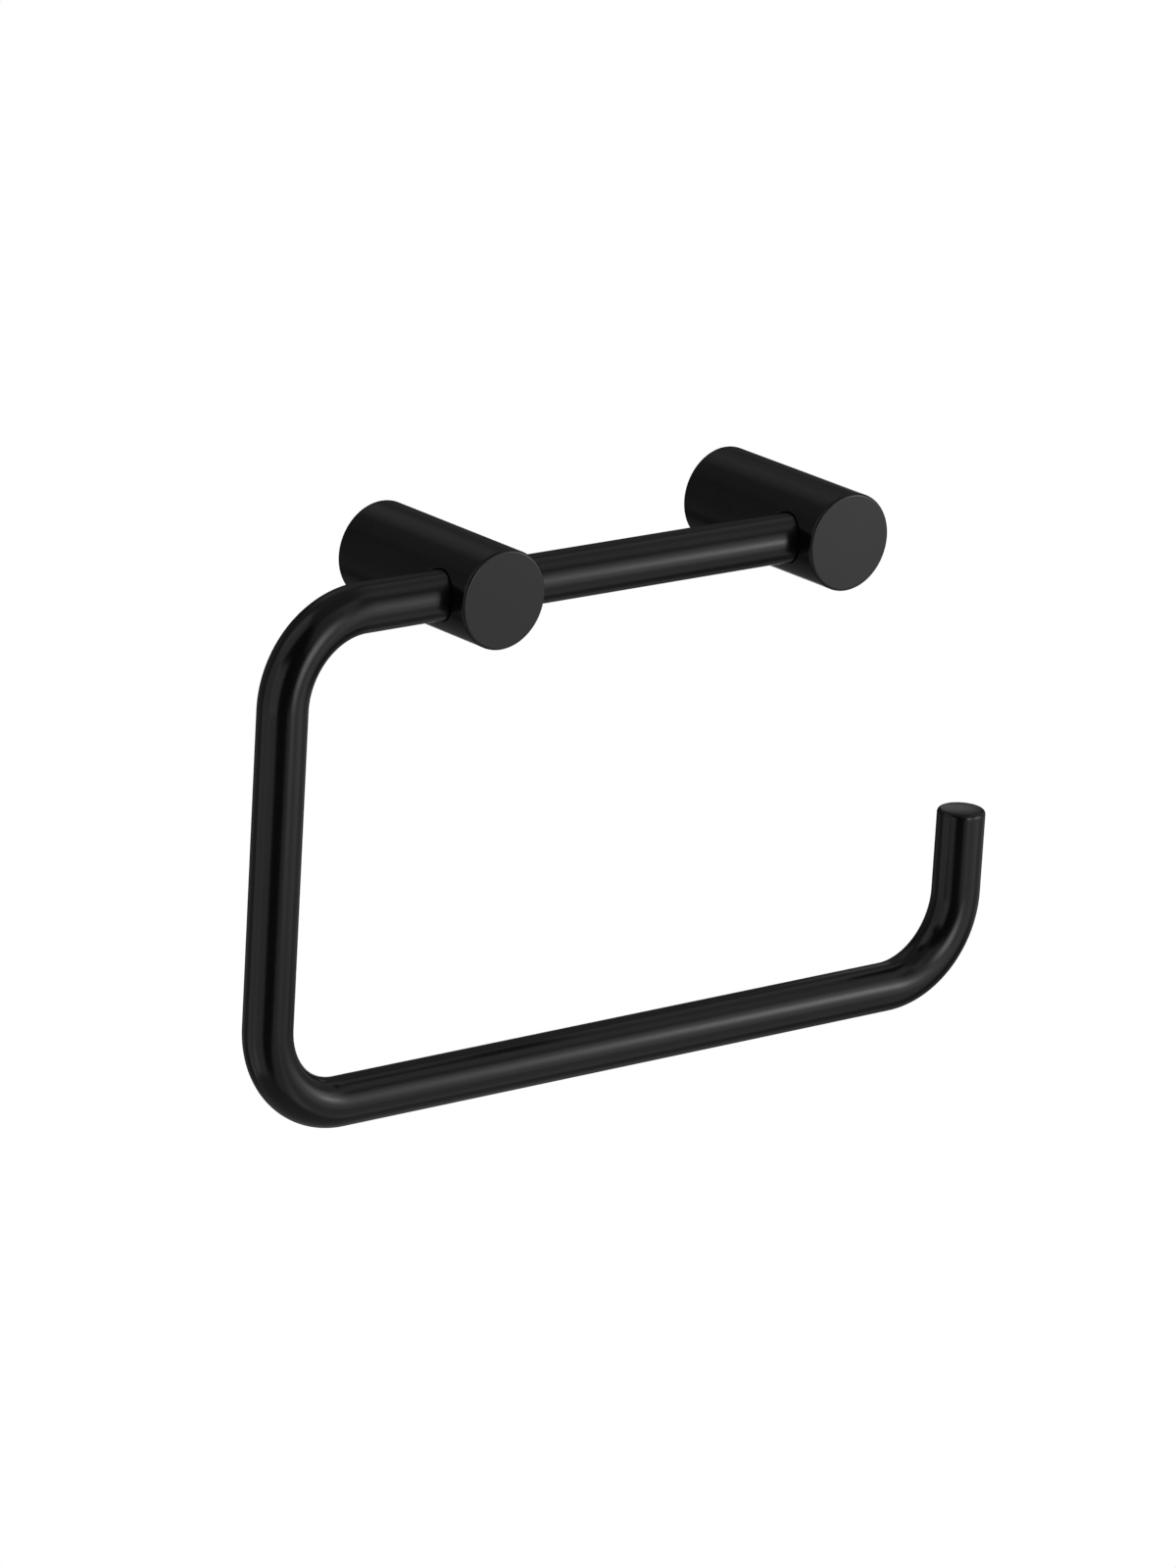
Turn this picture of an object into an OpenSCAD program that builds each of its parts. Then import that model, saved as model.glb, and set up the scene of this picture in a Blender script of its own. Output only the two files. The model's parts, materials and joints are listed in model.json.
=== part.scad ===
// Wall-mounted toilet paper holder: a bent rod that swings in two round posts.
// Frame: the wall is the plane y = 0, the posts stand out of it towards -Y, and +Z is up.
// The origin is on the wall, midway between the two post axes. Units are millimetres.

/* [Rod] */
// Diameter of the rod
rod_d = 10; // [8:0.5:11]
// Height from the lower run's centreline up to the swing axis
loop_drop = 100; // [85:1:130]
// Radius of each bend, on the centreline
bend_r = 18; // [12:1:22]
// Reach of the side run's centreline past the left post's axis
side_reach = 45.5; // [36:0.5:60]
// Reach of the upturned tip's centreline past the right post's axis
tip_reach = 43; // [36:0.5:60]
// Height of the tip's flat end above the lower run's centreline
tip_rise = 35.5; // [26:0.5:50]

/* [Posts] */
// Diameter of each post
post_d = 20; // [20:1:26]
// Length of each post, from the wall to its front face
post_len = 40; // [38:1:60]
// Distance between the two post axes
post_spacing = 87; // [70:1:120]
// Distance from the front face back to the swing axis
axis_setback = 9; // [9:0.5:12]
// Chamfer round the front face
front_chamfer = 0.5; // [0.2:0.1:0.8]

/* [Wall brackets] */
// Diameter of the boss that fills the back of each post
boss_d = 14.8; // [13:0.2:15]
// Thickness of the boss
boss_len = 8; // [7.5:0.5:9]
// Diameter of the hole for the wall screw
wall_hole_d = 4.5; // [4:0.5:5]

/* [Hidden] */
$fn = 96;
eps = 0.01;

coat = "#121213";
zinc = "#b9bdc1";
oxide = "#3a3b3d";
rubber = "#141414";

// Rod
rod_r = rod_d / 2;
post_x = post_spacing / 2;
axis_y = axis_setback - post_len;
side_x = -post_x - side_reach;
tip_x = post_x + tip_reach;
rod_end_past_axis = 5.5;
end_chamfer = 0.9;
neck_w = 3;
neck_r = rod_r - 1.5;

// Cross bore of the posts, with its O-ring grooves
bore_gap = 0.2;
bore_r = rod_r + bore_gap;
bore_floor_past_axis = 6;
ring_d = 1.5;
ring_gap = 0.05;
ring_r = rod_r + ring_gap + ring_d / 2;
ring_offset = 4.2;
ring_groove_w = 2;
ring_groove_r = ring_r + ring_d / 2 + ring_gap;

// Socket in the back of the posts
post_r = post_d / 2;
socket_gap = 0.1;
socket_r = boss_d / 2 + socket_gap;
socket_len = boss_len + 2;
rim_chamfer = 0.3;

// Set screws, all of one thread size, and the tapped holes that they sit in
thread_d = 4;
screw_r = thread_d / 2 - 0.05;
key_af = 2;
key_depth = 1.6;

// The screws that hold the rod: their dogs run in its necks
dog_d = 2.5;
dog_len = 2;
dog_gap = 0.2;
retaining_len = 10;

// The grub screws that lock the posts: their cones seat in a V groove round each boss
grub_y = -5;
grub_recess = 0.3;
cone_len = 1.5;
cone_tip_r = screw_r - cone_len;
grub_depth_in_boss = 1.7;
grub_tip_z = -(boss_d / 2 - grub_depth_in_boss);
grub_len = post_r - grub_recess + grub_tip_z;
v_depth = grub_depth_in_boss + cone_tip_r + 0.05;

// The wall screw's countersink, cut at 90 degrees
countersink_r = wall_hole_d;

// Turns a shape drawn along +Z so that it runs along +Y, away from the front face.
module along_y() {
    rotate([-90, 0, 0]) children();
}

// Turns a shape drawn along +Z so that it runs along +X.
module along_x() {
    rotate([0, 90, 0]) children();
}

// A straight run of rod from one point of the loop's plane to another, both [x, z].
module run(from, to) {
    length = norm(to - from);
    turn = atan2(to[0] - from[0], to[1] - from[1]);
    translate([from[0], axis_y, from[1]])
        rotate([0, turn, 0])
            cylinder(h = length, r = rod_r);
}

// A quarter bend round a centre [x, z], anticlockwise from the start angle as seen from the front.
module bend(centre, start) {
    translate([centre[0], axis_y, centre[1]])
        rotate([90, 0, 0])
            rotate([0, 0, start])
                rotate_extrude(angle = 90)
                    translate([bend_r, 0])
                        circle(r = rod_r);
}

// The ring of metal that is turned off the rod where a retaining screw's dog runs.
module neck_cut(x) {
    translate([x - neck_w / 2, axis_y, 0])
        along_x()
            difference() {
                cylinder(h = neck_w, r = rod_r + 1);
                translate([0, 0, -eps])
                    cylinder(h = neck_w + 2 * eps, r = neck_r);
            }
}

// The rod: swing axis run, side run, lower run and upturned tip, all one bent piece.
module roll_bar() {
    end_x = post_x + rod_end_past_axis;
    top_start = [side_x + bend_r, 0];
    low_z = -loop_drop;
    tip_z = low_z + tip_rise;
    color(coat)
        difference() {
            union() {
                run(top_start, [end_x - end_chamfer, 0]);
                translate([end_x - end_chamfer, axis_y, 0])
                    along_x()
                        cylinder(h = end_chamfer, r1 = rod_r, r2 = rod_r - end_chamfer);
                bend([side_x + bend_r, -bend_r], 90);
                run([side_x, low_z + bend_r], [side_x, -bend_r]);
                bend([side_x + bend_r, low_z + bend_r], 180);
                run([side_x + bend_r, low_z], [tip_x - bend_r, low_z]);
                bend([tip_x - bend_r, low_z + bend_r], 270);
                run([tip_x, low_z + bend_r], [tip_x, tip_z - end_chamfer]);
                translate([tip_x, axis_y, tip_z - end_chamfer])
                    cylinder(h = end_chamfer, r1 = rod_r, r2 = rod_r - end_chamfer);
            }
            neck_cut(-post_x);
            neck_cut(post_x);
        }
}

// The post's turned blank: a round bar with a chamfered front edge and a broken back edge.
module post_blank() {
    translate([0, -post_len, 0])
        along_y()
            rotate_extrude()
                polygon([
                    [0, 0],
                    [post_r - front_chamfer, 0],
                    [post_r, front_chamfer],
                    [post_r, post_len - rim_chamfer],
                    [post_r - rim_chamfer, post_len],
                    [0, post_len]
                ]);
}

// The cross bore that the rod turns in, from the post's left side to depth past its axis.
module cross_bore(depth) {
    start = -post_r - 1;
    translate([start, axis_y, 0])
        along_x()
            cylinder(h = depth - start, r = bore_r);
    for (side = [-1, 1])
        translate([side * ring_offset - ring_groove_w / 2, axis_y, 0])
            along_x()
                cylinder(h = ring_groove_w, r = ring_groove_r);
}

// The socket for the boss, and the tapped holes for the retaining screw and the grub screw.
module post_cavities() {
    translate([0, -socket_len, 0])
        along_y()
            cylinder(h = socket_len + 1, r = socket_r);
    translate([0, axis_y, 0])
        along_y()
            cylinder(h = -axis_y, d = thread_d);
    translate([0, grub_y, -post_r - 1])
        cylinder(h = post_r, d = thread_d);
}

// A post in place. A bore depth past the far side makes the cross bore a through hole.
module post(x, bore_depth) {
    translate([x, 0, 0])
        color(coat)
            difference() {
                post_blank();
                cross_bore(bore_depth);
                post_cavities();
            }
}

module left_post() {
    post(-post_x, post_r + 1);
}

module right_post() {
    post(post_x, bore_floor_past_axis);
}

// The wall bracket: a turned boss with a V groove for the grub screw and a countersunk hole.
module bracket(x) {
    boss_r = boss_d / 2;
    hole_r = wall_hole_d / 2;
    translate([x, 0, 0])
        color(zinc)
            rotate([90, 0, 0])
                rotate_extrude()
                    polygon([
                        [hole_r, 0],
                        [boss_r, 0],
                        [boss_r, -grub_y - v_depth],
                        [boss_r - v_depth, -grub_y],
                        [boss_r, -grub_y + v_depth],
                        [boss_r, boss_len],
                        [countersink_r, boss_len],
                        [hole_r, boss_len - countersink_r + hole_r]
                    ]);
}

module left_bracket() {
    bracket(-post_x);
}

module right_bracket() {
    bracket(post_x);
}

// The hexagon key socket of a set screw, cut from the face at z = 0 upwards.
module key_socket() {
    translate([0, 0, -eps])
        cylinder(h = key_depth + eps, d = key_af / cos(30), $fn = 6);
}

// A cone-point set screw under the post, which locks it to its bracket.
module post_grub_screw(x) {
    translate([x, grub_y, grub_tip_z - grub_len])
        color(oxide)
            difference() {
                union() {
                    cylinder(h = grub_len - cone_len, r = screw_r);
                    translate([0, 0, grub_len - cone_len])
                        cylinder(h = cone_len, r1 = screw_r, r2 = cone_tip_r);
                }
                key_socket();
            }
}

module left_post_grub_screw() {
    post_grub_screw(-post_x);
}

module right_post_grub_screw() {
    post_grub_screw(post_x);
}

// A dog-point set screw on the post's axis. Its dog runs in the rod's neck, so that the rod
// can swing but can't slide out.
module bar_retaining_screw(x) {
    translate([x, axis_y + neck_r + dog_gap + retaining_len, 0])
        color(oxide)
            rotate([90, 0, 0])
                difference() {
                    union() {
                        cylinder(h = retaining_len - dog_len, r = screw_r);
                        cylinder(h = retaining_len, d = dog_d);
                    }
                    key_socket();
                }
}

module left_bar_retaining_screw() {
    bar_retaining_screw(-post_x);
}

module right_bar_retaining_screw() {
    bar_retaining_screw(post_x);
}

// An O-ring in a groove of a post's cross bore. It centres the rod and keeps it quiet.
module o_ring(x) {
    translate([x, axis_y, 0])
        color(rubber)
            along_x()
                rotate_extrude()
                    translate([ring_r, 0])
                        circle(d = ring_d);
}

module left_post_outer_o_ring() {
    o_ring(-post_x - ring_offset);
}

module left_post_inner_o_ring() {
    o_ring(-post_x + ring_offset);
}

module right_post_inner_o_ring() {
    o_ring(post_x - ring_offset);
}

module right_post_outer_o_ring() {
    o_ring(post_x + ring_offset);
}

roll_bar();
left_post();
right_post();
left_bracket();
right_bracket();
left_post_grub_screw();
right_post_grub_screw();
left_bar_retaining_screw();
right_bar_retaining_screw();
left_post_outer_o_ring();
left_post_inner_o_ring();
right_post_inner_o_ring();
right_post_outer_o_ring();
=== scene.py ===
import json
import math

import bmesh
import bpy
from mathutils import Matrix, Vector


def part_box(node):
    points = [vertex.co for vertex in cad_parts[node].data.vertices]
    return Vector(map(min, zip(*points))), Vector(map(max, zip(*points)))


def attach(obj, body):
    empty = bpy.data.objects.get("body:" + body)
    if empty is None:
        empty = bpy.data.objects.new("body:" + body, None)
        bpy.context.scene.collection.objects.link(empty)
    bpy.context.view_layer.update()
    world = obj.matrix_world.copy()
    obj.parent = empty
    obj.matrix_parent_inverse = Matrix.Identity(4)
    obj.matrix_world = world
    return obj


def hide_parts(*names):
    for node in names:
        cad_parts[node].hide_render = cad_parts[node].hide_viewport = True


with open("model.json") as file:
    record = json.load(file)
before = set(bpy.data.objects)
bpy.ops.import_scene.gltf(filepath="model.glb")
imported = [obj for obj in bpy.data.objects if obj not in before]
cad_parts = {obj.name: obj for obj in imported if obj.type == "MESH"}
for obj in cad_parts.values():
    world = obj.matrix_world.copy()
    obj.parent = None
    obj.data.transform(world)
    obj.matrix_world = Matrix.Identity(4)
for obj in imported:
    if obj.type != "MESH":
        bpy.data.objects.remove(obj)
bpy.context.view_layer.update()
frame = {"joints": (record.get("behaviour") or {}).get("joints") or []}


# ---------------------------------------------------------------------------
# The roll bar
# One length of 10 mm round brass rod. Two necks are turned in it, then it is
# bent cold three times round one former. Its tip is flat, with a rounded edge.

MM = 0.001
merge_gap = 0.0005 * MM
cap_border = 0.04 * MM


def open_ring(name, centre, along, radius, sides):
    """Adds a circle of that radius, square to the axis along, and leaves it selected in edit mode."""
    bpy.ops.object.select_all(action="DESELECT")
    turns = {"X": (0, math.pi / 2, 0), "Y": (math.pi / 2, 0, 0), "Z": (0, 0, 0)}
    bpy.ops.mesh.primitive_circle_add(
        vertices=sides, radius=radius, location=centre, rotation=turns[along])
    piece = bpy.context.object
    piece.name = name
    bpy.ops.object.transform_apply(location=True, rotation=True, scale=True)
    bpy.ops.object.mode_set(mode="EDIT")
    bpy.ops.mesh.select_all(action="SELECT")
    return piece


def draw_out(centre, move, scale=1.0):
    """Extrudes the selected ring by move and scales the new one about its centre, which it returns."""
    bpy.ops.mesh.extrude_edges_move(TRANSFORM_OT_translate={"value": move})
    centre = Vector(centre) + Vector(move)
    if scale != 1.0:
        bpy.ops.transform.resize(value=(scale, scale, scale), center_override=centre)
    return centre


def pick(piece, kind, test):
    """Selects, in edit mode, only the edges or faces that the test is true of."""
    bpy.ops.mesh.select_all(action="DESELECT")
    bpy.ops.mesh.select_mode(type=kind)
    shape = bmesh.from_edit_mesh(piece.data)
    for part in shape.edges if kind == "EDGE" else shape.faces:
        part.select_set(bool(test(part)))
    bmesh.update_edit_mesh(piece.data)


def close_ends():
    """Closes every open ring of the piece with a flat face."""
    bpy.ops.mesh.select_all(action="SELECT")
    bpy.ops.mesh.fill_holes(sides=0)


def border_caps(sides):
    """Gives each flat end of that many sides a narrow border, which keeps its shading flat."""
    bpy.ops.mesh.select_face_by_sides(number=sides, type="EQUAL")
    bpy.ops.mesh.inset(thickness=cap_border)


def make_active(piece):
    """Selects the piece alone and makes it the active one."""
    bpy.ops.object.select_all(action="DESELECT")
    piece.select_set(True)
    bpy.context.view_layer.objects.active = piece


def finish_shape(piece, angle=35):
    """Merges doubles, turns the faces outwards, leaves edit mode and smooths all but sharp edges."""
    bpy.ops.mesh.select_all(action="SELECT")
    bpy.ops.mesh.remove_doubles(threshold=merge_gap)
    bpy.ops.mesh.normals_make_consistent(inside=False)
    bpy.ops.object.mode_set(mode="OBJECT")
    make_active(piece)
    bpy.ops.object.shade_smooth_by_angle(angle=math.radians(angle))


bar_low, bar_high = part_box("roll_bar")
left_low, left_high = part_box("left_post")
right_low, right_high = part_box("right_post")
swing = Vector(frame["joints"][0]["pos_m"])

bar_radius = bar_high.z - swing.z
bar_sides = 96
former_radius = 18 * MM
bend_steps = 32
hold_distance = 1.2 * MM
neck_width = 3 * MM
neck_radius = bar_radius - 1.5 * MM
tip_height = 35.5 * MM
tip_edge = 0.9 * MM
left_x = (left_low.x + left_high.x) / 2
right_x = (right_low.x + right_high.x) / 2
hidden_end_x = right_x + 5.5 * MM
side_x = bar_low.x + bar_radius
tip_x = bar_high.x - bar_radius
low_z = bar_low.z + bar_radius


def run_to(centre, goal):
    """Draws the bar straight out to goal, with a ring near each end to hold the shading straight."""
    move = Vector(goal) - Vector(centre)
    step = move.normalized() * hold_distance
    centre = draw_out(centre, step)
    centre = draw_out(centre, move - 2 * step)
    return draw_out(centre, step)


def turn_neck(centre):
    """Turns the bar down to its neck, from the neck's right shoulder to its left one."""
    down = neck_radius / bar_radius
    centre = draw_out(centre, (0, 0, 0), down)
    centre = draw_out(centre, (-neck_width, 0, 0))
    return draw_out(centre, (0, 0, 0), 1 / down)


def bend_round(pivot, goal):
    """Bends the bar a quarter turn round pivot to goal, which it returns."""
    bpy.ops.mesh.spin(
        steps=bend_steps, angle=math.pi / 2, center=pivot, axis=(0, 1, 0), dupli=False)
    return Vector(goal)


at = Vector((hidden_end_x, swing.y, swing.z))
bar = open_ring("bent_bar", at, "X", bar_radius, bar_sides)
for post_x in (right_x, left_x):
    at = run_to(at, (post_x + neck_width / 2, swing.y, swing.z))
    at = turn_neck(at)
at = run_to(at, (side_x + former_radius, swing.y, swing.z))
at = bend_round((side_x + former_radius, swing.y, swing.z - former_radius),
                (side_x, swing.y, swing.z - former_radius))
at = run_to(at, (side_x, swing.y, low_z + former_radius))
at = bend_round((side_x + former_radius, swing.y, low_z + former_radius),
                (side_x + former_radius, swing.y, low_z))
at = run_to(at, (tip_x - former_radius, swing.y, low_z))
at = bend_round((tip_x - former_radius, swing.y, low_z + former_radius),
                (tip_x, swing.y, low_z + former_radius))
at = run_to(at, (tip_x, swing.y, low_z + tip_height))
close_ends()
pick(bar, "EDGE", lambda e: len(e.link_faces) == 2 and max(len(f.verts) for f in e.link_faces) > 4)
bpy.ops.mesh.bevel(offset=tip_edge, segments=6, affect="EDGES", clamp_overlap=True)
border_caps(bar_sides)
finish_shape(bar)


def node_material(name, metallic, roughness, colour):
    """Makes a material. Returns it with its nodes, its links and its Principled shader."""
    made = bpy.data.materials.new(name)
    made.use_nodes = True
    shader = made.node_tree.nodes["Principled BSDF"]
    shader.inputs["Metallic"].default_value = metallic
    shader.inputs["Roughness"].default_value = roughness
    shader.inputs["Base Color"].default_value = (*colour, 1)
    return made, made.node_tree.nodes, made.node_tree.links, shader


def noise(nodes, links, source, scale, detail):
    """A noise pattern of that many waves to the metre, read from a vector socket."""
    pattern = nodes.new("ShaderNodeTexNoise")
    pattern.inputs["Scale"].default_value = scale
    pattern.inputs["Detail"].default_value = detail
    links.new(source, pattern.inputs["Vector"])
    return pattern.outputs["Fac"]


def remap(nodes, links, value, low, high, start=0.3, end=0.7):
    """Turns a value between start and end into one between low and high."""
    change = nodes.new("ShaderNodeMapRange")
    change.inputs["From Min"].default_value = start
    change.inputs["From Max"].default_value = end
    change.inputs["To Min"].default_value = low
    change.inputs["To Max"].default_value = high
    links.new(value, change.inputs["Value"])
    return change.outputs["Result"]


def blend(nodes, links, share, first, second):
    """Mixes two colours by a share that runs from 0 to 1."""
    mix = nodes.new("ShaderNodeMix")
    mix.data_type = "RGBA"
    mix.inputs["A"].default_value = (*first, 1)
    mix.inputs["B"].default_value = (*second, 1)
    links.new(share, mix.inputs["Factor"])
    return mix.outputs["Result"]


def raise_surface(nodes, links, shader, height, strength, depth):
    """Lets a pattern stand up from the surface by that depth at most."""
    relief = nodes.new("ShaderNodeBump")
    relief.inputs["Strength"].default_value = strength
    relief.inputs["Distance"].default_value = depth
    links.new(height, relief.inputs["Height"])
    links.new(relief.outputs["Normal"], shader.inputs["Normal"])


def black_coat():
    """Sprayed and stoved black lacquer: a deep black film, flowed out almost flat."""
    made, nodes, links, shader = node_material("black_lacquer", 0.0, 0.2, (0.004, 0.004, 0.004))
    shader.inputs["IOR"].default_value = 1.5
    place = nodes.new("ShaderNodeTexCoord").outputs["Object"]
    cloud = noise(nodes, links, place, 90, 3)
    grain = noise(nodes, links, place, 2600, 2)
    flow = noise(nodes, links, place, 420, 1)
    tint = blend(nodes, links, remap(nodes, links, cloud, 0, 1),
                 (0.0030, 0.0030, 0.0031), (0.0052, 0.0051, 0.0050))
    links.new(tint, shader.inputs["Base Color"])
    links.new(remap(nodes, links, grain, 0.17, 0.23), shader.inputs["Roughness"])
    raise_surface(nodes, links, shader, flow, 0.25, 0.01 * MM)
    return made


coat = black_coat()
bar.data.materials.append(coat)
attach(bar, "bar")
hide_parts("roll_bar")


# ---------------------------------------------------------------------------
# The two posts
# Each is a length of 20 mm round brass bar: faced, its front edge broken,
# cross-bored for the bar, bored from behind for its bracket, and tapped for
# two set screws.

post_radius = (left_high.x - left_low.x) / 2
post_sides = 160
post_rings = 80
bore_sides = 128
hole_sides = 64
wall_y = left_high.y
front_y = left_low.y
socket_depth = 10 * MM
socket_radius = 7.5 * MM
front_edge = 0.5 * MM
back_edge = 0.3 * MM
bore_radius = bar_radius + 0.2 * MM
bore_edge = 0.12 * MM
ring_offset = 4.2 * MM
ring_thickness = 1.5 * MM
ring_radius = bar_radius + 0.05 * MM + ring_thickness / 2
groove_width = 2 * MM
groove_radius = ring_radius + ring_thickness / 2 + 0.05 * MM
thread_hole_radius = 2 * MM
grub_y = wall_y - 5 * MM
blind_depth = 6 * MM
run_out = 2 * MM
close_by = 0.01 * MM


def cut(piece, tool):
    """Cuts the piece with a closed tool, which is then thrown away."""
    make_active(piece)
    made = piece.modifiers.new("cut", "BOOLEAN")
    made.object = tool
    made.operation = "DIFFERENCE"
    made.solver = "EXACT"
    bpy.ops.object.modifier_apply(modifier=made.name)
    bpy.data.objects.remove(tool)


def close_tool(tool):
    """Closes the tool's ends, turns its faces outwards and leaves edit mode."""
    close_ends()
    bpy.ops.mesh.select_all(action="SELECT")
    bpy.ops.mesh.normals_make_consistent(inside=False)
    bpy.ops.object.mode_set(mode="OBJECT")
    return tool


def from_post_axis(corner, x):
    """How far a corner of the mesh is from the axis of the post at x."""
    return math.hypot(corner.co.x - x, corner.co.z - swing.z)


def break_rim(blank, x, y, width, steps):
    """Rounds the outer edge of the post at x, at that y."""
    def on_rim(corner):
        return abs(corner.co.y - y) < close_by and from_post_axis(corner, x) > post_radius - close_by

    pick(blank, "EDGE", lambda e: all(on_rim(v) for v in e.verts))
    bpy.ops.mesh.bevel(offset=width, segments=steps, affect="EDGES")


def post_blank(name, x):
    """The turned blank, drawn from the socket's floor to the wall, over the rim and on to the face."""
    at = Vector((x, wall_y - socket_depth, swing.z))
    blank = open_ring(name, at, "Y", socket_radius, post_sides)
    at = draw_out(at, (0, socket_depth, 0))
    at = draw_out(at, (0, 0, 0), post_radius / socket_radius)
    for ring in range(post_rings):
        at = draw_out(at, (0, (front_y - wall_y) / post_rings, 0))
    close_ends()
    break_rim(blank, x, front_y, front_edge, 5)
    break_rim(blank, x, wall_y, back_edge, 3)
    border_caps(post_sides)
    finish_shape(blank)
    return blank


def cross_bore_tool(x, end_x):
    """The cross bore and its two O-ring grooves as a solid, from left of the post to end_x."""
    at = Vector((x - post_radius - run_out, swing.y, swing.z))
    tool = open_ring("bore_tool", at, "X", bore_radius, bore_sides)
    for side in (-1, 1):
        groove_start = x + side * ring_offset - groove_width / 2
        at = draw_out(at, (groove_start - at.x, 0, 0))
        at = draw_out(at, (0, 0, 0), groove_radius / bore_radius)
        at = draw_out(at, (groove_width, 0, 0))
        at = draw_out(at, (0, 0, 0), bore_radius / groove_radius)
    draw_out(at, (end_x - at.x, 0, 0))
    return close_tool(tool)


def thread_hole_tool(start, along, move):
    """A plain round tool of the tapped holes' size, from start along one axis by move."""
    tool = open_ring("hole_tool", start, along, thread_hole_radius, hole_sides)
    draw_out(start, move)
    return close_tool(tool)


def make_post(name, node, x, bore_end_x):
    """One post in place, with its bore, its socket and its screw holes."""
    def on_mouth(corner):
        from_bar_axis = math.hypot(corner.co.y - swing.y, corner.co.z - swing.z)
        return (abs(from_bar_axis - bore_radius) < close_by
                and from_post_axis(corner, x) > post_radius - 2 * close_by)

    post = post_blank(name, x)
    cut(post, cross_bore_tool(x, bore_end_x))
    cut(post, thread_hole_tool((x, swing.y, swing.z), "Y", (0, wall_y - socket_depth / 2 - swing.y, 0)))
    cut(post, thread_hole_tool((x, grub_y, swing.z - post_radius - run_out), "Z", (0, 0, post_radius)))
    bpy.ops.object.mode_set(mode="EDIT")
    pick(post, "EDGE", lambda e: all(on_mouth(v) for v in e.verts))
    bpy.ops.mesh.bevel(offset=bore_edge, segments=2, affect="EDGES")
    finish_shape(post)
    post.data.materials.append(coat)
    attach(post, "wall_posts")
    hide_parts(node)


make_post("left_round_post", "left_post", left_x, left_x + post_radius + run_out)
make_post("right_round_post", "right_post", right_x, right_x + blind_depth)


# ---------------------------------------------------------------------------
# The two wall brackets
# Each is a steel disc turned with a V groove round its edge, bored and
# countersunk for its wall screw, and zinc plated. Its post slides on over it.

boss_radius = 7.4 * MM
boss_length = 8 * MM
boss_edge = 0.2 * MM
boss_corner = 0.06 * MM
boss_sides = 128
groove_apex_radius = boss_radius - 2.2 * MM
groove_half_width = 2.2 * MM
wall_hole_radius = 2.25 * MM
countersink_radius = 4.5 * MM


def copy_along_x(piece, name, move):
    """Copies a piece, with its own mesh, to a place that far along X."""
    make_active(piece)
    bpy.ops.object.duplicate(linked=False)
    twin = bpy.context.object
    twin.name = name
    twin.location.x = move
    bpy.ops.object.transform_apply(location=True, rotation=True, scale=True)
    return twin


def turn_profile(at, along, profile):
    """Draws the selected ring through a profile: pairs of a distance along the axis and a radius."""
    here, radius = profile[0]
    axis = Vector({"X": (1, 0, 0), "Y": (0, 1, 0), "Z": (0, 0, 1)}[along])
    for place, new_radius in profile[1:]:
        at = draw_out(at, axis * (place - here), new_radius / radius)
        here, radius = place, new_radius


bracket_at = Vector((left_x, wall_y, swing.z))
left_bracket = open_ring("left_turned_bracket", bracket_at, "Y", wall_hole_radius, boss_sides)
turn_profile(bracket_at, "Y", (
    (0, wall_hole_radius),
    (0, boss_radius - boss_edge),
    (-boss_edge, boss_radius),
    (grub_y - wall_y + groove_half_width, boss_radius),
    (grub_y - wall_y, groove_apex_radius),
    (grub_y - wall_y - groove_half_width, boss_radius),
    (-boss_length + boss_edge, boss_radius),
    (-boss_length, boss_radius - boss_edge),
    (-boss_length, countersink_radius),
    (-boss_length + countersink_radius - wall_hole_radius, wall_hole_radius),
    (0, wall_hole_radius)))
bpy.ops.mesh.select_all(action="SELECT")
bpy.ops.mesh.remove_doubles(threshold=merge_gap)
pick(left_bracket, "EDGE", lambda e: e.calc_face_angle(0) > math.radians(20))
bpy.ops.mesh.bevel(offset=boss_corner, segments=2, affect="EDGES")
finish_shape(left_bracket, 30)
right_bracket = copy_along_x(left_bracket, "right_turned_bracket", right_x - left_x)


def bright_zinc():
    """Bright zinc plate with a faint blue and straw bloom, over fine rings left by the turning."""
    made, nodes, links, shader = node_material("bright_zinc", 1.0, 0.34, (0.6, 0.61, 0.63))
    place = nodes.new("ShaderNodeTexCoord").outputs["Object"]
    cloud = noise(nodes, links, place, 160, 4)
    bloom = blend(nodes, links, remap(nodes, links, cloud, 0, 1),
                  (0.53, 0.56, 0.61), (0.66, 0.63, 0.57))
    links.new(bloom, shader.inputs["Base Color"])
    spangle = noise(nodes, links, place, 1500, 3)
    links.new(remap(nodes, links, spangle, 0.27, 0.42), shader.inputs["Roughness"])
    apart = nodes.new("ShaderNodeSeparateXYZ")
    links.new(place, apart.inputs["Vector"])
    sideways = nodes.new("ShaderNodeMath")
    sideways.operation = "ABSOLUTE"
    links.new(apart.outputs["X"], sideways.inputs[0])
    from_axis = nodes.new("ShaderNodeMath")
    from_axis.operation = "SUBTRACT"
    from_axis.inputs[1].default_value = right_x
    links.new(sideways.outputs["Value"], from_axis.inputs[0])
    across = nodes.new("ShaderNodeCombineXYZ")
    links.new(from_axis.outputs["Value"], across.inputs["X"])
    links.new(apart.outputs["Z"], across.inputs["Z"])
    rings = nodes.new("ShaderNodeTexWave")
    rings.wave_type = "RINGS"
    rings.rings_direction = "SPHERICAL"
    rings.inputs["Scale"].default_value = 1400
    rings.inputs["Distortion"].default_value = 0.6
    rings.inputs["Detail"].default_value = 2
    links.new(across.outputs["Vector"], rings.inputs["Vector"])
    raise_surface(nodes, links, shader, rings.outputs["Fac"], 0.35, 0.01 * MM)
    return made


zinc = bright_zinc()
for bracket, node in ((left_bracket, "left_bracket"), (right_bracket, "right_bracket")):
    bracket.data.materials.append(zinc)
    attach(bracket, "wall_posts")
    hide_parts(node)


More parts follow.
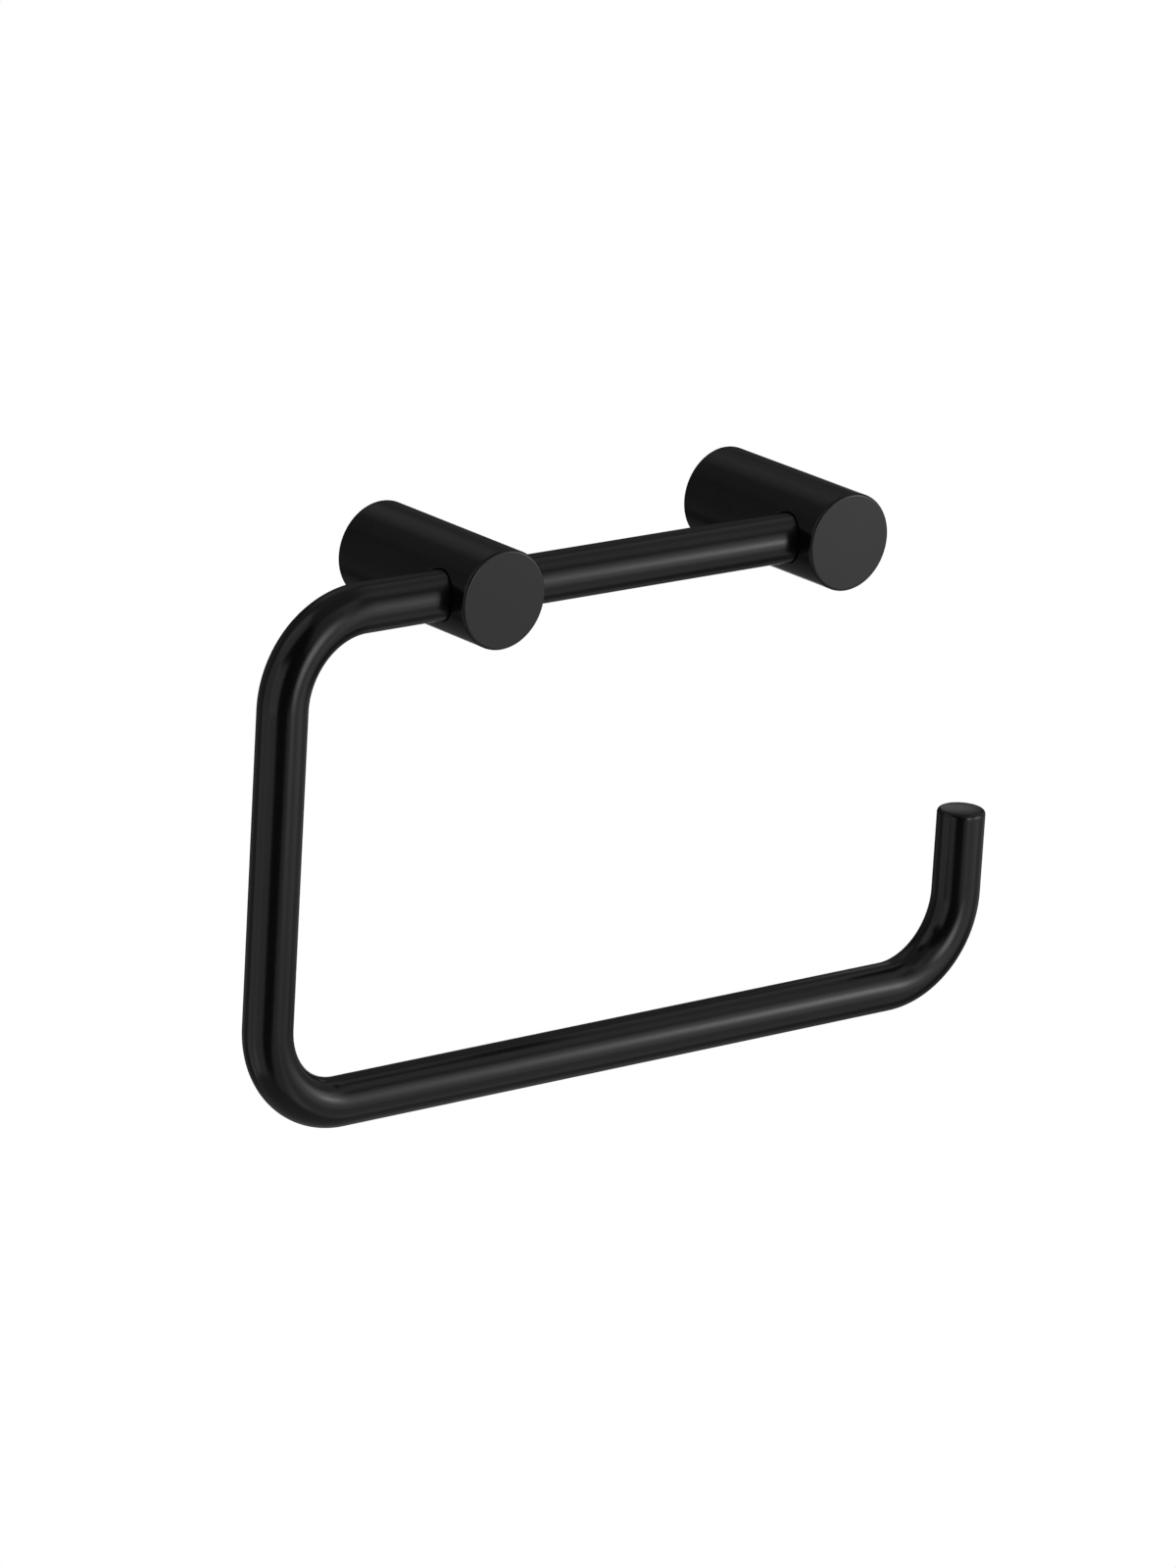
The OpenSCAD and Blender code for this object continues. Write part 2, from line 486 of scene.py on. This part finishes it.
# ---------------------------------------------------------------------------
# The four set screws
# M4 steel set screws with a hexagon socket, blackened. A cone point under each
# post bites in its bracket's groove, and a dog point inside runs in the bar's neck.

screw_radius = 1.95 * MM
screw_edge = 0.3 * MM
screw_sides = 72
thread_pitch = 0.7 * MM
thread_root_radius = screw_radius - 0.4 * MM
thread_crest_radius = screw_radius + 0.12 * MM
thread_steps = 36
key_across_flats = 2 * MM
key_depth = 1.6 * MM
drill_point = 0.35 * MM
mouth_radius = 1.42 * MM
mouth_floor_radius = 0.97 * MM
dog_radius = 1.25 * MM
dog_length = 2 * MM
dog_edge = 0.15 * MM
shoulder_length = 0.35 * MM
shoulder_radius = screw_radius - 0.45 * MM
cone_length = 1.5 * MM
cone_tip_radius = 0.45 * MM


def thread_tool(length):
    """A triangle wound as a helix up Z, from below 0 to beyond length. Cut away, it leaves a thread."""
    bpy.ops.object.select_all(action="DESELECT")
    bpy.ops.mesh.primitive_circle_add(
        vertices=3, radius=0.5 * MM, location=(thread_root_radius + 0.5 * MM, 0, 0),
        rotation=(math.pi / 2, 0, 0))
    tool = bpy.context.object
    bpy.ops.object.transform_apply(location=True, rotation=True, scale=True)
    crest = thread_crest_radius
    half = (crest - thread_root_radius) * math.tan(math.radians(30))
    for corner, (radius, height) in zip(
            tool.data.vertices, ((thread_root_radius, 0), (crest, half), (crest, -half))):
        corner.co = (radius, 0, height - 1.5 * thread_pitch)
    wind = tool.modifiers.new("wind", "SCREW")
    wind.axis = "Z"
    wind.angle = 2 * math.pi
    wind.screw_offset = thread_pitch
    wind.iterations = math.ceil(length / thread_pitch) + 3
    wind.steps = wind.render_steps = thread_steps
    bpy.ops.object.modifier_apply(modifier=wind.name)
    bpy.ops.object.mode_set(mode="EDIT")
    return close_tool(tool)


def key_tool():
    """A hexagon key's hole from under 0 up to the key's depth, with a drill point."""
    corner_radius = key_across_flats / 2 / math.cos(math.pi / 6)
    under = 0.5 * MM
    at = Vector((0, 0, -under))
    tool = open_ring("key_tool", at, "Z", corner_radius, 6)
    at = draw_out(at, (0, 0, key_depth + under))
    draw_out(at, (0, 0, drill_point), 0.12)
    return close_tool(tool)


def mouth_tool():
    """A blunt cone that breaks the edge of the key's hole."""
    at = Vector((0, 0, -0.2 * MM))
    tool = open_ring("mouth_tool", at, "Z", mouth_radius, screw_sides)
    draw_out(at, (0, 0, mouth_radius - mouth_floor_radius), mouth_floor_radius / mouth_radius)
    return close_tool(tool)


def make_set_screw(name, profile, thread_length):
    """A set screw standing on its socket end at the origin, its point upwards."""
    screw = open_ring(name, (0, 0, 0), "Z", profile[0][1], screw_sides)
    turn_profile((0, 0, 0), "Z", profile)
    close_tool(screw)
    cut(screw, thread_tool(thread_length))
    cut(screw, key_tool())
    cut(screw, mouth_tool())
    bpy.ops.object.mode_set(mode="EDIT")
    finish_shape(screw, 30)
    return screw


def put_in_place(piece, place, turned=(0, 0, 0)):
    """Turns the piece about the origin and moves it to its place, both kept in its mesh."""
    make_active(piece)
    piece.rotation_euler = turned
    piece.location = place
    bpy.ops.object.transform_apply(location=True, rotation=True, scale=True)


grub_low, grub_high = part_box("left_post_grub_screw")
keep_low, keep_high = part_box("left_bar_retaining_screw")
grub_length = grub_high.z - grub_low.z
keep_length = keep_high.y - keep_low.y

left_grub = make_set_screw("left_cone_point_screw", (
    (0, screw_radius - screw_edge),
    (screw_edge, screw_radius),
    (grub_length - cone_length, screw_radius),
    (grub_length, cone_tip_radius)), grub_length - cone_length)
put_in_place(left_grub, (left_x, grub_y, grub_low.z))
right_grub = copy_along_x(left_grub, "right_cone_point_screw", right_x - left_x)

left_keeper = make_set_screw("left_dog_point_screw", (
    (0, screw_radius - screw_edge),
    (screw_edge, screw_radius),
    (keep_length - dog_length - shoulder_length, screw_radius),
    (keep_length - dog_length, shoulder_radius),
    (keep_length - dog_length, dog_radius),
    (keep_length - dog_edge, dog_radius),
    (keep_length, dog_radius - dog_edge)), keep_length - dog_length)
put_in_place(left_keeper, (left_x, keep_high.y, swing.z), (math.pi / 2, 0, 0))
right_keeper = copy_along_x(left_keeper, "right_dog_point_screw", right_x - left_x)


def blackened_steel():
    """Oiled black oxide on hardened steel: dull and nearly black, browner where the oxide is thin."""
    made, nodes, links, shader = node_material("blackened_steel", 1.0, 0.42, (0.05, 0.05, 0.052))
    place = nodes.new("ShaderNodeTexCoord").outputs["Object"]
    thin = noise(nodes, links, place, 900, 4)
    oxide_tint = blend(nodes, links, remap(nodes, links, thin, 0, 1),
                       (0.030, 0.031, 0.034), (0.085, 0.074, 0.064))
    links.new(oxide_tint, shader.inputs["Base Color"])
    oil = noise(nodes, links, place, 2200, 2)
    links.new(remap(nodes, links, oil, 0.34, 0.52), shader.inputs["Roughness"])
    raise_surface(nodes, links, shader, noise(nodes, links, place, 6000, 2), 0.3, 0.008 * MM)
    return made


oxide = blackened_steel()
for screw, node in (
        (left_grub, "left_post_grub_screw"), (right_grub, "right_post_grub_screw"),
        (left_keeper, "left_bar_retaining_screw"), (right_keeper, "right_bar_retaining_screw")):
    screw.data.materials.append(oxide)
    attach(screw, "wall_posts")
    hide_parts(node)


# ---------------------------------------------------------------------------
# The four O-rings
# Moulded nitrile rubber rings, two in the grooves of each cross bore. The bar
# passes through them. The mould's parting leaves a fine line inside and outside.

ring_sides = 112
section_sides = 28
parting_width = 0.05 * MM
parting_height = 0.02 * MM
hair = 0.002 * MM


def raise_parting_line(ring, x, radius, rise):
    """Widens the edge loop of that radius in the ring's middle plane, and raises its centre by rise."""
    def on_line(corner):
        return abs(math.hypot(corner.co.y - swing.y, corner.co.z - swing.z) - radius) < hair

    pick(ring, "EDGE", lambda e: all(on_line(v) for v in e.verts))
    bpy.ops.mesh.bevel(offset=parting_width, segments=2, affect="EDGES")
    pick(ring, "EDGE", lambda e: all(on_line(v) and abs(v.co.x - x) < hair for v in e.verts))
    grow = 1 + rise / radius
    bpy.ops.transform.resize(value=(1, grow, grow), center_override=(x, swing.y, swing.z))


def make_o_ring(name, x):
    """One O-ring round the bar's axis, with its two parting lines raised."""
    bpy.ops.object.select_all(action="DESELECT")
    bpy.ops.mesh.primitive_torus_add(
        major_segments=ring_sides, minor_segments=section_sides,
        major_radius=ring_radius, minor_radius=ring_thickness / 2,
        location=(x, swing.y, swing.z), rotation=(0, math.pi / 2, 0))
    ring = bpy.context.object
    ring.name = name
    bpy.ops.object.transform_apply(location=True, rotation=True, scale=True)
    bpy.ops.object.mode_set(mode="EDIT")
    raise_parting_line(ring, x, ring_radius + ring_thickness / 2, parting_height)
    raise_parting_line(ring, x, ring_radius - ring_thickness / 2, -parting_height)
    finish_shape(ring, 60)
    return ring


o_rings = [make_o_ring("left_outer_rubber_ring", left_x - ring_offset)]
for name, x in (("left_inner_rubber_ring", left_x + ring_offset),
                ("right_inner_rubber_ring", right_x - ring_offset),
                ("right_outer_rubber_ring", right_x + ring_offset)):
    o_rings.append(copy_along_x(o_rings[0], name, x - (left_x - ring_offset)))


def nitrile_rubber():
    """Black nitrile rubber: soft dull sheen, with a trace of grey bloom and mould grain."""
    made, nodes, links, shader = node_material("nitrile_rubber", 0.0, 0.6, (0.014, 0.014, 0.015))
    shader.inputs["IOR"].default_value = 1.52
    shader.inputs["Specular IOR Level"].default_value = 0.4
    place = nodes.new("ShaderNodeTexCoord").outputs["Object"]
    cloud = noise(nodes, links, place, 700, 3)
    bloom = blend(nodes, links, remap(nodes, links, cloud, 0, 1),
                  (0.010, 0.010, 0.011), (0.028, 0.027, 0.026))
    links.new(bloom, shader.inputs["Base Color"])
    dull = noise(nodes, links, place, 1800, 2)
    links.new(remap(nodes, links, dull, 0.5, 0.68), shader.inputs["Roughness"])
    raise_surface(nodes, links, shader, noise(nodes, links, place, 5000, 2), 0.3, 0.01 * MM)
    return made


rubber = nitrile_rubber()
for ring, node in zip(o_rings, ("left_post_outer_o_ring", "left_post_inner_o_ring",
                                "right_post_inner_o_ring", "right_post_outer_o_ring")):
    ring.data.materials.append(rubber)
    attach(ring, "wall_posts")
    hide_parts(node)


# ---------------------------------------------------------------------------
# The view
# The camera stands well back, to the left of the holder and a little above it.

camera_place = (-1.0268, -1.2592, 0.4527)
camera_yaw = 0.6902
camera_pitch = 0.3024
camera_roll = 0.0576
lens_length = 194.8
ahead = Vector((math.sin(camera_yaw) * math.cos(camera_pitch),
                math.cos(camera_yaw) * math.cos(camera_pitch),
                -math.sin(camera_pitch)))
level_ahead = Vector((math.sin(camera_yaw), math.cos(camera_yaw), 0))
level_right = Vector((math.cos(camera_yaw), -math.sin(camera_yaw), 0))
level_up = level_right.cross(ahead)
right = math.cos(camera_roll) * level_right + math.sin(camera_roll) * level_up
up = math.cos(camera_roll) * level_up - math.sin(camera_roll) * level_right
camera_data = bpy.data.cameras.new("camera")
camera_data.lens = lens_length
camera_data.sensor_width = 36
camera_data.clip_start = 0.1
camera_data.clip_end = 30
camera = bpy.data.objects.new("camera", camera_data)
bpy.context.scene.collection.objects.link(camera)
camera.matrix_world = (Matrix.Translation(camera_place)
                       @ Matrix((right, up, -ahead)).transposed().to_4x4())
bpy.context.scene.camera = camera


# ---------------------------------------------------------------------------
# The studio
# Soft screens stand all round the holder, with brighter lamps at its right and
# behind it. It hangs far above a pale, evenly glowing light table.

world_strength = 0.02
table_strength = 0.03
table_z = -1.8
table_width = 24
scene = bpy.context.scene
scene.view_settings.view_transform = "Standard"
scene.view_settings.look = "None"


def white_to_the_eye(tree, shader_type, strength, output):
    """Lets the camera see pure white, while everything else is lit at the given strength."""
    nodes, links = tree.nodes, tree.links
    seen = nodes.new(shader_type)
    seen.inputs["Strength"].default_value = 1.0
    felt = nodes.new(shader_type)
    felt.inputs["Strength"].default_value = strength
    choose = nodes.new("ShaderNodeMixShader")
    links.new(nodes.new("ShaderNodeLightPath").outputs["Is Camera Ray"], choose.inputs["Fac"])
    links.new(felt.outputs[0], choose.inputs[1])
    links.new(seen.outputs[0], choose.inputs[2])
    links.new(choose.outputs["Shader"], nodes[output].inputs["Surface"])
    for glow in (seen, felt):
        glow.inputs["Color"].default_value = (1, 1, 1, 1)


world = bpy.data.worlds.new("studio")
scene.world = world
world.use_nodes = True
white_to_the_eye(world.node_tree, "ShaderNodeBackground", world_strength, "World Output")

bpy.ops.mesh.primitive_plane_add(size=table_width, location=(0, 0, table_z))
light_table = bpy.context.object
light_table.name = "light_table"
opal = bpy.data.materials.new("opal_sheet")
opal.use_nodes = True
white_to_the_eye(opal.node_tree, "ShaderNodeEmission", table_strength, "Material Output")
light_table.data.materials.append(opal)

focus = Vector((0, swing.y, swing.z - 45 * MM))
tip = Vector((tip_x, swing.y, low_z + tip_height))


def fade_edges(lamp_data, share):
    """Fades a light towards its edges. share is how far in from the edge the fade reaches."""
    lamp_data.use_nodes = True
    nodes, links = lamp_data.node_tree.nodes, lamp_data.node_tree.links
    apart = nodes.new("ShaderNodeSeparateXYZ")
    links.new(nodes.new("ShaderNodeNewGeometry").outputs["Parametric"], apart.inputs["Vector"])
    both = nodes.new("ShaderNodeMath")
    both.operation = "MULTIPLY"
    for socket, side in enumerate(("X", "Y")):
        middle = nodes.new("ShaderNodeMath")
        middle.operation = "SUBTRACT"
        middle.inputs[1].default_value = 0.5
        links.new(apart.outputs[side], middle.inputs[0])
        away = nodes.new("ShaderNodeMath")
        away.operation = "ABSOLUTE"
        links.new(middle.outputs["Value"], away.inputs[0])
        fade = nodes.new("ShaderNodeMapRange")
        fade.interpolation_type = "SMOOTHSTEP"
        fade.inputs["From Min"].default_value = 0.5
        fade.inputs["From Max"].default_value = 0.5 - 0.5 * share
        links.new(away.outputs["Value"], fade.inputs["Value"])
        links.new(fade.outputs["Result"], both.inputs[socket])
    links.new(both.outputs["Value"], nodes["Emission"].inputs["Strength"])


def softbox(name, turn, lift, distance, wide, tall, radiance, share=0.3, aim=focus):
    """A soft light aimed at a point. turn is its bearing in degrees, rightwards from the camera's,
    lift its height above level, and wide and tall the angles that it fills as seen from there."""
    bearing, raised = math.radians(turn), math.radians(lift)
    level = math.sin(bearing) * level_right - math.cos(bearing) * level_ahead
    out = math.cos(raised) * level + Vector((0, 0, math.sin(raised)))
    data = bpy.data.lights.new(name, "AREA")
    data.shape = "RECTANGLE"
    data.size = 2 * distance * math.tan(math.radians(wide / 2))
    data.size_y = 2 * distance * math.tan(math.radians(tall / 2))
    data.energy = radiance * math.pi * data.size * data.size_y
    fade_edges(data, share)
    lamp = bpy.data.objects.new(name, data)
    lamp.location = aim + out * distance
    lamp.rotation_euler = out.to_track_quat("Z", "Y").to_euler()
    scene.collection.objects.link(lamp)


softbox("left_screen", -76, 8, 1.2, 42, 42, 0.36)
softbox("left_low_screen", -76, -30, 1.2, 42, 46, 0.4)
softbox("left_high_screen", -76, 46, 1.2, 46, 46, 0.46)
softbox("left_front_screen", -41, 8, 1.2, 40, 42, 0.55, 0.2)
softbox("left_front_low_screen", -41, -30, 1.2, 40, 46, 0.4, 0.2)
softbox("near_lamp", 44, 5, 0.9, 32, 56, 3.2, 1)
softbox("between_lamps", 61, 5, 0.9, 34, 60, 0.64, 1)
softbox("far_lamp_edge", 77, 6, 0.75, 34, 64, 1.3, 1)
softbox("far_lamp", 95, 6, 0.75, 38, 64, 1.6, 1)
softbox("far_lamp_core", 84, 5, 0.6, 20, 24, 2.6, 1)
softbox("right_front_low_screen", 38, -32, 1.2, 40, 46, 0.32, 0.25)
softbox("right_low_screen", 76, -32, 1.2, 48, 46, 0.34)
softbox("right_front_high_screen", 40, 44, 1.2, 46, 46, 0.31)
softbox("right_high_screen", 82, 44, 1.2, 52, 46, 0.16)
softbox("right_back_screen", 126, 0, 1.2, 54, 56, 0.2)
softbox("right_back_high_screen", 126, 46, 1.2, 56, 48, 0.24)
softbox("back_screen", 180, 17, 1.2, 60, 40, 0.05, 0.6)
softbox("back_high_screen", 180, 42, 1.2, 70, 34, 0.1, 0.4)
softbox("back_lamp", 178, -17, 1.2, 28, 22, 1.0, 0.6)
softbox("tip_lamp", 180, 17, 0.2, 14, 14, 0.36, 0.6, tip)
softbox("back_low_screen", 180, -42, 1.2, 110, 44, 0.07, 0.4)
softbox("left_back_screen", -120, 0, 1.2, 54, 64, 0.08, 0.4)
softbox("left_back_high_screen", -130, 50, 1.2, 70, 46, 0.1, 0.4)
softbox("top_screen", 0, 90, 1.2, 60, 60, 0.15, 0.4)
softbox("under_screen", 0, -90, 1.0, 90, 90, 0.15, 0.4)
